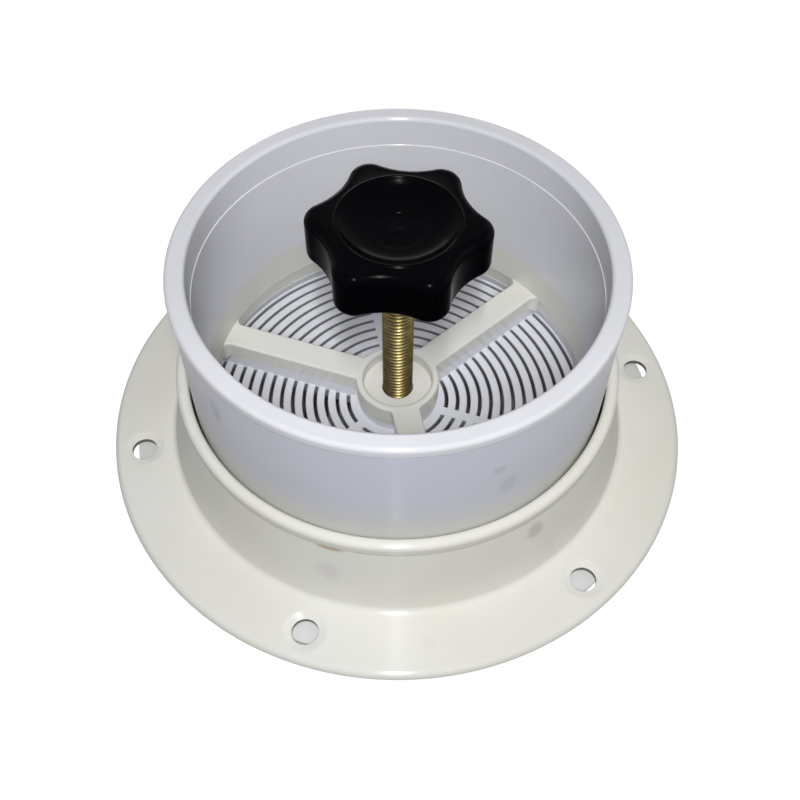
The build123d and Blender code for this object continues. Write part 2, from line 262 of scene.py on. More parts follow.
class VentilatorColours(PropertyGroup):
    """Colours of the finishes."""

    cream: colour("Cream plastic", "Trim ring and spider", 231, 230, 225)
    # Also painted on the sleeve above the trim ring's lip, as a painted reflection of the cream ring.
    cream_aged_and_reflected: colour("Aged cream", "Yellowed patches of the cream plastic", 225, 224, 214)
    white: colour("White plastic", "Grille and the sleeve's inside", 230, 231, 238)
    # The outer wall's white is cooler than the rim's, and darker as painted shade.
    white_outside_shaded: colour("Sleeve's outside", "Cooler white of the outer wall", 210, 213, 227)
    white_aged: colour("Aged white", "Duller patches of the white plastic", 222, 224, 229)
    weathered: colour("Weathered white", "Outer base and cap", 222, 223, 225)
    black: colour("Black plastic", "Star knob", 3, 3, 6)
    brass: colour("Brass", "Rod, nuts, washers and insert", 160, 144, 96)
    rubber: colour("Rubber", "Cap seal", 38, 38, 38)
    steel: colour("Steel", "Screws and pin", 190, 190, 186)


class VentilatorStudio(PropertyGroup):
    """Camera and lamps."""

    elevation: FloatProperty(
        name="Elevation", description="Height of the camera above the horizon",
        default=np.radians(54.0), subtype="ANGLE")
    distance: length("Distance", "From the camera to the point it looks at", 273.4 * mm)
    lens: FloatProperty(
        name="Lens", description="Focal length of the camera", default=44.97, unit="CAMERA")
    roll: FloatProperty(
        name="Roll", description="Turn of the camera about its line of sight",
        default=0.010, subtype="ANGLE")
    key_power: power("Key power", "The narrow upright lamp over the camera", 1.38)
    spark_power: power("Spark power", "The small lamp that draws the highlights", 0.08)
    fill_power: power("Fill power", "The broad lamp on the right", 0.3)
    back_power: power("Back power", "The broad, low lamp behind the object", 0.7)
    ambient: FloatProperty(
        name="Ambient", description="Strength of the light from all round", default=0.07)


# Outlines and skins

def rounded(corners, closed=True, steps=8):
    """Outline whose corners are arcs that touch both sides, and its normals.

    A corner is two coordinates and, where it isn't tiny, its round. An arc's centre lies on
    the corner's bisector, at the round over the cosine of half the turn. Its points turn
    evenly from the normal of one side to that of the next.
    """
    points = np.array([corner[:2] for corner in corners], float)
    rounds = [corner[2] if len(corner) > 2 else tiny_round for corner in corners]
    sides = np.roll(points, -1, 0) - points
    sides /= np.linalg.norm(sides, axis=1, keepdims=True)
    normals = np.stack([sides[:, 1], -sides[:, 0]], 1)
    if not closed:
        normals[-1] = normals[-2]
    path = []
    facing = []
    for i, (corner, size) in enumerate(zip(points, rounds)):
        before = normals[i - 1] if closed or i else normals[0]
        after = normals[i]
        turn = np.arctan2(before[0] * after[1] - before[1] * after[0], before @ after)
        if abs(turn) < 0.01:
            path.append(corner[None])
            facing.append(after[None])
            continue
        turned = np.arctan2(before[1], before[0]) + np.linspace(0, turn, steps + 1)
        arc = directions(turned)
        middle = (before + after) / np.linalg.norm(before + after)
        side = np.sign(turn)
        centre = corner - side * middle * size / np.cos(turn / 2)
        path.append(centre + side * size * arc)
        facing.append(arc)
    return np.concatenate(path), np.concatenate(facing)


def directions(turns):
    """Unit vectors in the plane at some angles."""
    return np.stack([np.cos(turns), np.sin(turns)], -1)


def round_axis(columns):
    """Even angles of a whole turn."""
    return np.arange(columns) * 2 * np.pi / columns


def numbered(points):
    """Index of each point in an array of them."""
    return np.arange(points[..., 0].size).reshape(points.shape[:-1])


def carried(outline, ways):
    """Rows of points: each outline point's radius along unit vectors, at its height."""
    rows = np.empty((len(outline), len(ways), 3))
    rows[:, :, :2] = outline[:, :1, None] * ways
    rows[:, :, 2] = outline[:, 1:]
    return rows


def swept(path, facing, columns):
    """Rows of points and normals: each outline point carried round Z on a circle of its radius."""
    around = directions(round_axis(columns))
    return carried(path, around), carried(facing, around)


def quads_between(lower, upper):
    """Quads between two or more rows of indices that run round the axis, facing outwards."""
    corners = [lower, np.roll(lower, -1, -1), np.roll(upper, -1, -1), upper]
    return np.stack(corners, -1).reshape(-1, 4)


def tube_skin(rows, normals):
    """Closed skin whose last row of points joins its first."""
    index = numbered(rows)
    quads = quads_between(index, np.roll(index, -1, 0))
    return rows.reshape(-1, 3), [quads], normals.reshape(-1, 3)


def turned_skin(corners, columns):
    """Closed skin of a rounded outline that is carried round Z."""
    return tube_skin(*swept(*rounded(corners), columns))


def section(foot, low, head, high, head_round, steps=3):
    """Outline of a bar from half its width at the foot and at the head, and the head's round."""
    return rounded([(-foot, low), (foot, low), (head, high, head_round), (-head, high, head_round)],
                   steps=steps)


def bar_skins(points, normals):
    """Closed skins of bars, from arrays of bars, outline points, steps and coordinates.

    Each bar is an outline carried from step to step, with a flat face at both ends.
    """
    index = numbered(points)
    beside = np.roll(index, -1, 1)
    corners = [index[:, :, :-1], index[:, :, 1:], beside[:, :, 1:], beside[:, :, :-1]]
    quads = np.stack(corners, -1).reshape(-1, 4)
    ends = [index[:, :, 0], index[:, ::-1, -1]]
    return points.reshape(-1, 3), [quads, *ends], normals.reshape(-1, 3)


def joined(*skins):
    """One skin of several closed ones."""
    starts = np.cumsum([0] + [len(points) for points, faces, facing in skins])
    all_faces = [group + start for start, skin in zip(starts, skins) for group in skin[1]]
    all_points = np.concatenate([skin[0] for skin in skins])
    return all_points, all_faces, np.concatenate([skin[2] for skin in skins])


def arc_bars(radii, starts, ends, path, facing, steps):
    """Points and normals of bars that follow arcs about Z.

    A bar's outline point is at the bar's radius plus its own offset. It turns evenly from
    the bar's start to its end.
    """
    around = directions(np.linspace(starts, ends, steps).T)[:, None]
    points = np.empty((len(radii), len(path), steps, 3))
    points[..., :2] = (radii[:, None] + path[:, 0])[..., None, None] * around
    points[..., 2] = path[:, 1:]
    normals = np.empty_like(points)
    normals[..., :2] = facing[:, :1, None] * around
    normals[..., 2] = facing[:, 1:]
    return points, normals


def radial_bars(reach, widening, path, facing, turns):
    """Points and normals of like bars along radii at some turns, from the outer end inwards.

    A bar's half width is its outline's plus the widening, so its flanks lean by the
    widening's slope.
    """
    slope = np.gradient(widening, reach)
    bar = np.empty((len(path), len(reach), 3))
    bar[..., 0] = reach
    bar[..., 1] = path[:, :1] + np.sign(path[:, :1]) * widening
    bar[..., 2] = path[:, 1:]
    flat = np.empty_like(bar)
    flat[..., 0] = -slope * np.abs(facing[:, :1])
    flat[..., 1] = facing[:, :1]
    flat[..., 2] = facing[:, 1:]
    cosine = np.cos(turns)
    sine = np.sin(turns)
    still = np.zeros_like(turns)
    rows = [[cosine, -sine, still], [sine, cosine, still], [still, still, still + 1]]
    turned = np.moveaxis(np.array(rows), -1, 0)
    return [np.einsum("nij,psj->npsi", turned, part) for part in (bar, flat)]


def capped_skin(rows, normals):
    """Skin whose first and last rows each close in a fan about a pole on the axis."""
    index = numbered(rows)
    quads = quads_between(index[:-1], index[1:])
    low = np.full(index.shape[1], index.size)
    high = low + 1
    fans = [
        np.stack([low, np.roll(index[0], -1), index[0]], 1),
        np.stack([high, index[-1], np.roll(index[-1], -1)], 1),
    ]
    poles = np.stack([rows[0].mean(0), rows[-1].mean(0)])
    points = np.concatenate([rows.reshape(-1, 3), poles])
    facing = np.concatenate([normals.reshape(-1, 3), [[0, 0, -1], [0, 0, 1]]])
    return points, [quads, *fans], facing


def window_border(index, first_row, last_row, first_column, last_column):
    """Indices round a window of a grid, anticlockwise as seen from outside."""
    return np.concatenate([
        index[first_row, first_column:last_column],
        index[first_row:last_row, last_column],
        index[last_row, last_column:first_column:-1],
        index[last_row:first_row:-1, first_column],
    ])


def add_piece(name, skin, finish, body, slot, *replaced):
    """Makes an object of a skin, in its finish, that rides on a body and stands for CAD nodes."""
    points, faces, facing = skin
    mesh = bpy.data.meshes.new(name)
    mesh.from_pydata(points.tolist(), [], sum([group.tolist() for group in faces], []))
    mesh.shade_smooth()
    facing = facing / np.linalg.norm(facing, axis=1, keepdims=True)
    mesh.normals_split_custom_set_from_vertices(facing.tolist())
    return place(name, mesh, finish, body, slot, *replaced)


def place(name, mesh, finish, body, slot, *replaced):
    """Links an object of a mesh that has its place already."""
    mesh.materials.clear()
    mesh.materials.append(finish)
    piece = bpy.data.objects.new(name, mesh)
    bpy.context.collection.objects.link(piece)
    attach(piece, body)
    if replaced:
        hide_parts(*replaced)
    return piece


def smooth_copy(node, finish, body, slot, crease=35):
    """Merged copy of a CAD node with smooth shading, sharp where its faces turn past the crease."""
    mesh = frame["nodes"][node].data.copy()
    mesh.name = f"{node}_skin"
    cleaned = bmesh.new()
    cleaned.from_mesh(mesh)
    bmesh.ops.remove_doubles(cleaned, verts=cleaned.verts, dist=0.001 * mm)
    cleaned.to_mesh(mesh)
    cleaned.free()
    mesh.shade_smooth()
    mesh.set_sharp_from_angle(angle=np.radians(crease))
    piece = place(f"{node}_skin", mesh, finish, body, slot, node)
    weighted = piece.modifiers.new("Flat faces stay flat", "WEIGHTED_NORMAL")
    weighted.keep_sharp = True
    return piece


# Shader nodes

def connect(tree, node, inputs):
    """Links a node's inputs to sockets, or sets them to plain values."""
    for name, value in inputs.items():
        if isinstance(value, bpy.types.NodeSocket):
            tree.links.new(value, node.inputs[name])
        else:
            node.inputs[name].default_value = value


def add_node(tree, kind, inputs, **settings):
    """Adds a shader node with its settings and inputs."""
    node = tree.nodes.new(f"ShaderNode{kind}")
    for name, value in settings.items():
        setattr(node, name, value)
    connect(tree, node, inputs)
    return node


def noise(tree, position, scale, detail, roughness=0.5):
    """Noise of a position, from 0 to 1."""
    inputs = {"Vector": position, "Scale": scale, "Detail": detail, "Roughness": roughness}
    return add_node(tree, "TexNoise", inputs).outputs["Fac"]


def ranged(tree, value, start, end, low=0.0, high=1.0, **settings):
    """Value carried from the range between start and end to the one between low and high."""
    inputs = {"Value": value, "From Min": start, "From Max": end, "To Min": low, "To Max": high}
    return add_node(tree, "MapRange", inputs, **settings).outputs["Result"]


def calculated(tree, operation, *values, **settings):
    """Result of a sum, a product or the like."""
    inputs = dict(enumerate(values))
    return add_node(tree, "Math", inputs, operation=operation, **settings).outputs[0]


def vectors(tree, operation, *values):
    """Outputs of a calculation with vectors."""
    return add_node(tree, "VectorMath", dict(enumerate(values)), operation=operation).outputs


def mixed(tree, share, first, second):
    """Colour between two others."""
    inputs = {0: share, 6: first, 7: second}
    return add_node(tree, "Mix", inputs, data_type="RGBA").outputs[2]


# Effects that finishes share

def new_group(name, inputs, outputs):
    """Empty node group and its ends, from the inputs' defaults and the outputs' kinds."""
    group = bpy.data.node_groups.new(name, "ShaderNodeTree")
    for label, default in {"Position": (0, 0, 0), **inputs}.items():
        kind = {1: "Float", 3: "Vector", 4: "Color"}[np.size(default)]
        socket = group.interface.new_socket(
            name=label, in_out="INPUT", socket_type=f"NodeSocket{kind}")
        socket.default_value = default
    for label, kind in outputs.items():
        group.interface.new_socket(name=label, in_out="OUTPUT", socket_type=f"NodeSocket{kind}")
    start = group.nodes.new("NodeGroupInput")
    end = group.nodes.new("NodeGroupOutput")
    return group, start.outputs, end


def moulded_skin(name):
    """Height of a moulded skin: fine pebbles over long, soft sink marks."""
    inputs = {"Pebbles per metre": 2600.0, "Sinks per metre": 42.0, "Sink share": 0.8}
    group, start, end = new_group(name, inputs, {"Height": "Float"})
    position = start["Position"]
    pebbles = noise(group, position, start["Pebbles per metre"], 2.0)
    sinks = noise(group, position, start["Sinks per metre"], 1.0)
    height = add_node(group, "Mix", {0: start["Sink share"], 2: pebbles, 3: sinks})
    connect(group, end, {"Height": height.outputs[0]})
    return group


def ageing(name):
    """Colour that drifts between fresh and aged in soft patches."""
    inputs = {"Fresh": (1, 1, 1, 1), "Aged": (0.8, 0.8, 0.7, 1), "Patches per metre": 18.0}
    group, start, end = new_group(name, inputs, {"Colour": "Color"})
    patches = noise(group, start["Position"], start["Patches per metre"], 3.0, 0.55)
    spread = ranged(group, patches, 0.36, 0.66)
    connect(group, end, {"Colour": mixed(group, spread, start["Fresh"], start["Aged"])})
    return group


def smudges(name):
    """Mask of faint smudges, at the tops of a noise, and of specks of dust."""
    inputs = {"Smudges per metre": 55.0, "Specks per metre": 420.0, "Coverage": 0.3}
    group, start, end = new_group(name, inputs, {"Mask": "Float"})
    position = start["Position"]
    threshold = calculated(group, "SUBTRACT", 0.78, start["Coverage"])
    smears = noise(group, position, start["Smudges per metre"], 4.0)
    cells = add_node(group, "TexVoronoi", {"Vector": position, "Scale": start["Specks per metre"]})
    specks = ranged(group, cells.outputs["Distance"], 0.10, 0.04, 0.0, 0.35)
    smeared = ranged(group, smears, threshold, 0.92)
    connect(group, end, {"Mask": calculated(group, "ADD", smeared, specks, use_clamp=True)})
    return group


def stain(name):
    """Mask of one stain: the distance from its centre over its reach, with a ragged edge."""
    inputs = {"Centre": (0, 0, 0), "Reach": (1, 1, 1), "Strength": 0.5}
    group, start, end = new_group(name, inputs, {"Mask": "Float"})
    position = start["Position"]
    offset = vectors(group, "SUBTRACT", position, start["Centre"])["Vector"]
    scaled = vectors(group, "DIVIDE", offset, start["Reach"])["Vector"]
    distance = vectors(group, "LENGTH", scaled)["Value"]
    edge = calculated(group, "MULTIPLY_ADD", noise(group, position, 700.0, 3.0), 0.6, distance)
    mask = ranged(group, edge, 1.5, 0.7, 0.0, start["Strength"], interpolation_type="SMOOTHSTEP")
    connect(group, end, {"Mask": mask})
    return group


def tool_marks(name):
    """Height of the fine rings that a turning tool leaves: waves along Z, broken by noise."""
    inputs = {"Rings per metre": 900.0, "Breaks per metre": 300.0}
    group, start, end = new_group(name, inputs, {"Height": "Float"})
    position = start["Position"]
    waves = {"Vector": position, "Scale": start["Rings per metre"], "Distortion": 1.2, "Detail": 1.0}
    rings = add_node(group, "TexWave", waves, bands_direction="Z").outputs["Fac"]
    breaks = noise(group, position, start["Breaks per metre"], 3.0)
    connect(group, end, {"Height": calculated(group, "MULTIPLY", rings, breaks)})
    return group


def place_masks(name):
    """Masks of a turned piece: from its radius and its height, each a ramp between two values."""
    inputs = {"Radius from": 0.0, "Radius to": 1 * mm, "Height from": 0.0, "Height to": 1 * mm}
    group, start, end = new_group(name, inputs, {"By radius": "Float", "By height": "Float"})
    position = add_node(group, "SeparateXYZ", {"Vector": start["Position"]}).outputs
    flat = add_node(group, "CombineXYZ", {"X": position["X"], "Y": position["Y"]})
    radius = vectors(group, "LENGTH", flat.outputs["Vector"])["Value"]
    connect(group, end, {
        "By radius": ranged(group, radius, start["Radius from"], start["Radius to"]),
        "By height": ranged(group, position["Z"], start["Height from"], start["Height to"]),
    })
    return group


EFFECTS = {
    "Moulded skin": moulded_skin,
    "Ageing": ageing,
    "Smudges": smudges,
    "Stain": stain,
    "Tool marks": tool_marks,
    "Place": place_masks,
}


def use_effect(tree, effect, position, inputs):
    """Outputs of an effect's group, which is made at its first use."""
    group = bpy.data.node_groups.get(effect) or EFFECTS[effect](effect)
    return add_node(tree, "Group", {"Position": position, **inputs}, node_tree=group).outputs


# Finishes

def new_finish(name):
    """New material's tree, with its Principled BSDF and the object coordinates."""
    material = bpy.data.materials.new(f"{name} finish")
    material.use_nodes = True
    tree = material.node_tree
    position = tree.nodes.new("ShaderNodeTexCoord").outputs["Object"]
    return material, tree, tree.nodes["Principled BSDF"], position


def add_relief(tree, shader, position, effect, strength, depth, inputs):
    """Bumps in a finish, from an effect's height."""
    height = use_effect(tree, effect, position, inputs)["Height"]
    bump = add_node(tree, "Bump", {"Strength": strength, "Distance": depth, "Height": height})
    connect(tree, shader, {"Normal": bump.outputs["Normal"]})


def plastic(name, fresh, aged, roughness, smudge_tint, coverage, bump, tints=(), stains=(),
            stretch=0.0):
    """Glossy moulded plastic: aged colour, tints by place, smudges, stains, and a moulded skin.

    The stretch is the highlights' along the axis, on a turned piece.
    """
    material, tree, shader, position = new_finish(name)
    shade = use_effect(tree, "Ageing", position, {"Fresh": fresh, "Aged": aged})["Colour"]
    for tint, strength, radii, heights in tints:
        masks = use_effect(tree, "Place", position, {
            "Radius from": radii[0], "Radius to": radii[1],
            "Height from": heights[0], "Height to": heights[1]})
        both = calculated(tree, "MULTIPLY", masks["By radius"], masks["By height"])
        shade = mixed(tree, calculated(tree, "MULTIPLY", both, strength), shade, tint)
    smudged = use_effect(tree, "Smudges", position, {"Coverage": coverage})["Mask"]
    shade = mixed(tree, smudged, shade, smudge_tint)
    for centre, reach, strength, tint in stains:
        mask = use_effect(tree, "Stain", position, {
            "Centre": [value * mm for value in centre],
            "Reach": [value * mm for value in reach],
            "Strength": strength})["Mask"]
        shade = mixed(tree, mask, shade, tone(*tint))
    connect(tree, shader, {
        "Base Color": shade,
        "Roughness": ranged(tree, smudged, 0.0, 1.0, roughness, roughness + 0.2),
        "IOR": 1.5,
        "Specular IOR Level": 0.35,
        "Anisotropic": stretch,
        "Anisotropic Rotation": 0.25,
    })
    add_relief(tree, shader, position, "Moulded skin", bump, 0.1 * mm, {})
    return material


def cream_plastic(colours):
    """Cream plastic of the spider."""
    return plastic("cream plastic", colours.cream, colours.cream_aged_and_reflected, 0.24,
                   tone(216, 213, 204), 0.12, 0.25)


def ring_plastic(colours):
    """Cream plastic of the trim ring, darkened as painted shade down its screw holes and on its
    underside, with the stains of use.
    """
    hole_edge = hole_circle + hole_rim
    shade_top = ring_box[0].z + flange_thickness - countersink_depth
    # Painted shade: below the countersinks' floors, the hole walls and the underside are darkened.
    recess_shade = (tone(104, 97, 90), 1.0, (hole_edge, hole_edge - soft_edge),
             (shade_top, shade_top - soft_edge))
    return plastic("ring plastic", colours.cream, colours.cream_aged_and_reflected, 0.22,
                   tone(216, 213, 204), 0.1, 0.2, [recess_shade], RING_STAINS, 0.98)


def white_plastic(colours):
    """Cool white plastic of the grille, darkened as painted shade down in its slots and below them.
    """
    plate = grille_box[0].z + plate_thickness
    # Painted shade: everything more than a little below the bars' tops is darkened, the slots' walls
    # among it.
    recess_shade = (tone(84, 85, 94), 0.65, everywhere, (plate - 0.3 * mm, plate - 0.8 * mm))
    return plastic("white plastic", colours.white, colours.white_aged, 0.2,
                   tone(190, 192, 196), 0.12, 0.2, [recess_shade])


def sleeve_plastic(colours):
    """White plastic of the sleeve: cooler outside and darker there as painted shade, creamy above the
    lip as a painted reflection of the cream ring, creamy low down inside, with the stains of use.
    """
    outside = (inside_radius, inside_radius + soft_edge)
    inside = (inside_radius, inside_radius - soft_edge)
    under_rim = sleeve_box[1].z - rim_height
    lip_top = ring_box[1].z
    tints = [
        # Painted shade: the outer wall below the rim takes the cooler, darker white.
        (colours.white_outside_shaded, 1.0, outside, (under_rim, under_rim - 1 * mm)),
        # Painted reflection: the outer wall just above the lip is tinted cream, as the cream ring
        # would reflect there.
        (colours.cream_aged_and_reflected, 0.75, outside, (lip_top + 12 * mm, lip_top)),
        (colours.cream_aged_and_reflected, 0.8, inside, (liner_top + soft_edge, liner_top)),
    ]
    return plastic("sleeve plastic", colours.white, colours.white_aged, 0.22,
                   tone(196, 198, 204), 0.1, 0.2, tints, SLEEVE_STAINS, 0.98)


def weathered_white(colours):
    """Duller white of the outer base and the cap, which stand in the sun."""
    return plastic("weathered white", colours.weathered, tone(213, 212, 206), 0.3,
                   tone(190, 188, 181), 0.18, 0.3)


def black_plastic(colours):
    """Black knob plastic: deep gloss with a faint blue cast and fine dust in patches."""
    material, tree, shader, position = new_finish("black plastic")
    smudged = use_effect(tree, "Smudges", position, {
        "Coverage": 0.2, "Smudges per metre": 120.0})["Mask"]
    connect(tree, shader, {
        "Base Color": mixed(tree, smudged, colours.black, tone(18, 19, 26)),
        "Roughness": ranged(tree, smudged, 0.0, 1.0, 0.18, 0.35),
        "Specular IOR Level": 0.02,
    })
    add_relief(tree, shader, position, "Moulded skin", 0.2, 0.1 * mm, {"Sinks per metre": 120.0})
    return material


def brass(colours):
    """Turned brass: bright on the crests, and near black in the thread's roots as painted shade."""
    material, tree, shader, position = new_finish("brass")
    crest = rod_box[1].x
    depth = bpy.context.scene.ventilator_sizes.thread_depth
    raised = use_effect(tree, "Place", position, {
        "Radius from": crest - 0.9 * depth, "Radius to": crest - 0.25 * depth})["By radius"]
    worn = noise(tree, position, 500.0, 4.0)
    bright = calculated(tree, "MULTIPLY_ADD", raised, worn, 0.1, use_clamp=True)
    # The thread's roots are darkened to a near-black brown as painted shade.
    connect(tree, shader, {
        "Base Color": mixed(tree, bright, tone(16, 12, 7), colours.brass),
        "Roughness": ranged(tree, bright, 0.0, 1.0, 0.5, 0.24),
        "Metallic": 1.0,
    })
    add_relief(tree, shader, position, "Tool marks", 0.15, 0.05 * mm, {})
    return material


def steel(colours):
    """Passive stainless steel of the screws and the pin, with tool marks."""
    material, tree, shader, position = new_finish("steel")
    shade = use_effect(tree, "Ageing", position, {
        "Fresh": colours.steel, "Aged": tone(150, 148, 142), "Patches per metre": 400.0})["Colour"]
    connect(tree, shader, {"Base Color": shade, "Roughness": 0.28, "Metallic": 1.0})
    add_relief(tree, shader, position, "Tool marks", 0.2, 0.05 * mm, {})
    return material


def seal_rubber(colours):
    """Dull seal rubber with a bloom of dust."""
    material, tree, shader, position = new_finish("seal rubber")
    bloom = use_effect(tree, "Smudges", position, {
        "Coverage": 0.35, "Smudges per metre": 140.0})["Mask"]
    connect(tree, shader, {
        "Base Color": mixed(tree, bloom, colours.rubber, tone(86, 86, 84)),
        "Roughness": 0.7,
    })
    add_relief(tree, shader, position, "Moulded skin", 0.4, 0.1 * mm, {
        "Pebbles per metre": 4000.0, "Sink share": 0.2})
    return material


FINISHES = (cream_plastic, ring_plastic, white_plastic, sleeve_plastic, weathered_white,
            black_plastic, brass, steel, seal_rubber)


def finish(label):
    """The material of that label, made at its first use."""
    made = bpy.data.materials.get(f"{label.replace('_', ' ')} finish")
    makers = {make.__name__: make for make in FINISHES}
    return made or makers[label](bpy.context.scene.ventilator_colours)


# Surfaces

def sleeve_outline(sizes):
    """Sleeve's wall from foot to rim: a bead outside, a shallow recess inside and a counterbore."""
    height = sleeve_box[1].z
    rim = sleeve_box[1].x
    outer = rim - rim_overhang
    bore = outer - sizes.sleeve_wall
    band = bore + rim_band_step
    band_bottom = height - rim_band_height
    shoulder = spider_box[1].z
    counterbore = outer - foot_wall
    bead_bottom = height - rim_height
    soft = 0.3 * rim_groove
    return rounded([
        (counterbore, 0),
        (outer, 0),
        (outer, bead_bottom - 2 * rim_groove, soft),
        (outer - rim_groove, bead_bottom - rim_groove, soft),
        (outer - rim_groove, bead_bottom, soft),
        (rim, bead_bottom, soft),
        (rim, height, rim_round),
        (band, height, rim_round),
        (band, band_bottom),
        (bore, band_bottom - rim_band_step / 2),
        (bore, shoulder),
        (counterbore, shoulder),
    ])


def ring_outline():
    """Trim ring's wall: flange, hollow cone and bead, with rows across the flange."""
    bottom = ring_box[0].z
    top = ring_box[1].z
    outer = ring_box[1].x
    lip = ring_bore + lip_width
    cone_top = lip - lip_overhang
    cone_root = cone_top + cone_flare
    flange_top = bottom + flange_thickness
    lip_bottom = top - lip_height
    guide_bottom = top - guide_height
    across = np.linspace(hole_circle - hole_reach * mm, hole_circle + hole_reach * mm, 9)
    bead = 0.45 * lip_width
    return rounded([
        (cone_root - ring_wall, bottom),
        *[(radius, bottom) for radius in across],
        (outer, bottom, under_round),
        (outer - edge_slope, flange_top, edge_round),
        *[(radius, flange_top) for radius in across[::-1]],
        (cone_root, flange_top, root_round),
        (cone_top, lip_bottom - lip_slope, lip_slope),
        (lip, lip_bottom, lip_slope / 2),
        (lip, top, bead),
        (ring_bore, top, bead),
        (ring_bore, guide_bottom),
        (lip - ring_wall, guide_bottom - ring_wall),
    ])


def ring_skin(sizes):
    """Trim ring swept round the axis, with windows in both faces of the flange joined by screw holes.

    A hole is a sheaf of circles about its own axis, from the top window's border down the
    countersink and the wall to the bottom window's border. A circle has one point towards
    each border point.
    """
    path, facing = ring_outline()
    rows, normals = swept(path, facing, sizes.columns)
    index = numbered(rows)
    bottom = ring_box[0].z
    top = bottom + flange_thickness
    near_hole = np.abs(path[:, 0] - hole_circle) < (hole_reach + 0.01) * mm
    low_rows = np.flatnonzero(near_hole & np.isclose(path[:, 1], bottom))
    high_rows = np.flatnonzero(near_hole & np.isclose(path[:, 1], top))
    profile, profile_facing = rounded([
        (hole_rim, top),
        (countersink_radius, top, countersink_round),
        (sizes.hole_radius, top - countersink_depth),
        (sizes.hole_radius, bottom),
        (hole_rim, bottom),
    ], closed=False, steps=5)
    keep = np.ones(index.shape, bool)
    points = [rows.reshape(-1, 3)]
    facings = [normals.reshape(-1, 3)]
    hole_quads = []
    first_free = index.size
    columns_per_degree = sizes.columns // 360
    for i in range(hole_count):
        angle = first_hole + i * 360 // hole_count
        first = (angle - hole_reach) * columns_per_degree
        last = (angle + hole_reach) * columns_per_degree
        keep[high_rows[0]:high_rows[-1], first:last] = False
        keep[low_rows[0]:low_rows[-1], first:last] = False
        upper = window_border(index, high_rows[0], high_rows[-1], first, last)
        row, column = np.divmod(upper, sizes.columns)
        lower = index[low_rows[-1] - (row - high_rows[0]), column]
        centre = hole_circle * directions(np.radians(angle))
        out = points[0][upper, :2] - centre
        out /= np.linalg.norm(out, axis=1, keepdims=True)
        wall = carried(profile, out)
        wall[:, :, :2] += centre
        made = first_free + numbered(wall)
        first_free += made.size
        sheaf = np.concatenate([upper[None], made, lower[None]])
        hole_quads.append(quads_between(sheaf[:-1], sheaf[1:]))
        points.append(wall.reshape(-1, 3))
        facings.append(carried(profile_facing, out).reshape(-1, 3))
    swept_quads = quads_between(index, np.roll(index, -1, 0))[keep.ravel()]
    return np.concatenate(points), [swept_quads, *hole_quads], np.concatenate(facings)


def arm_turns():
    """Angles of the spider's arms."""
    return np.radians(arm_turn + 360 / arm_count * np.arange(arm_count))


def spider_skin(sizes):
    """Spider: a turned hub and ring, and three arms between them.

    A fillet's arc touches the arm's flank and the ring's or the hub's circle. At an angle
    along it the arm is wider by the fillet less its cosine, and reaches the fillet's sine
    past the arc's centre. Its face is a shell step lower than the hub's.
    """
    bottom = spider_box[0].z
    top = spider_box[1].z
    outer = spider_box[1].x
    sleeve_bore = sleeve_box[1].x - rim_overhang - sizes.sleeve_wall
    bore = rod_box[1].x + rod_clearance
    floor = top - hub_recess_depth
    hub = turned_skin([
        (bore, bottom),
        (hub_radius, bottom),
        (hub_radius, top, hub_round),
        (hub_recess_radius, top, hub_round),
        (hub_recess_radius, floor, 2 * tiny_round),
        (bore, floor),
    ], sizes.columns)
    ring = turned_skin(
        [(ring_foot_bore, bottom, hub_round), (outer, bottom), (outer, top), (sleeve_bore, top)],
        sizes.columns)
    arm = section(arm_foot_width / 2, bottom, arm_width / 2, top - shell_step, arm_round, steps=5)
    wide = arm_width / 2 + arm_fillet
    ring_centre = np.sqrt((sleeve_bore - arm_fillet) ** 2 - wide**2)
    hub_centre = np.sqrt((hub_radius + arm_fillet) ** 2 - wide**2)
    at_ring = np.linspace(np.pi / 2, 0, 9)
    at_hub = np.linspace(0, np.arcsin(hub_centre / (hub_radius + arm_fillet)), 9)
    ring_end = ring_centre + arm_fillet * np.sin(at_ring)
    hub_end = hub_centre - arm_fillet * np.sin(at_hub)
    reach = np.concatenate([
        [(outer + sleeve_bore) / 2], ring_end, hub_end, [hub_end[-1] - shell_step]])
    widening = np.pad(arm_fillet * (1 - np.cos(np.concatenate([at_ring, at_hub]))), 1, mode="edge")
    arms = bar_skins(*radial_bars(reach, widening, *arm, arm_turns()))
    return joined(hub, ring, arms)


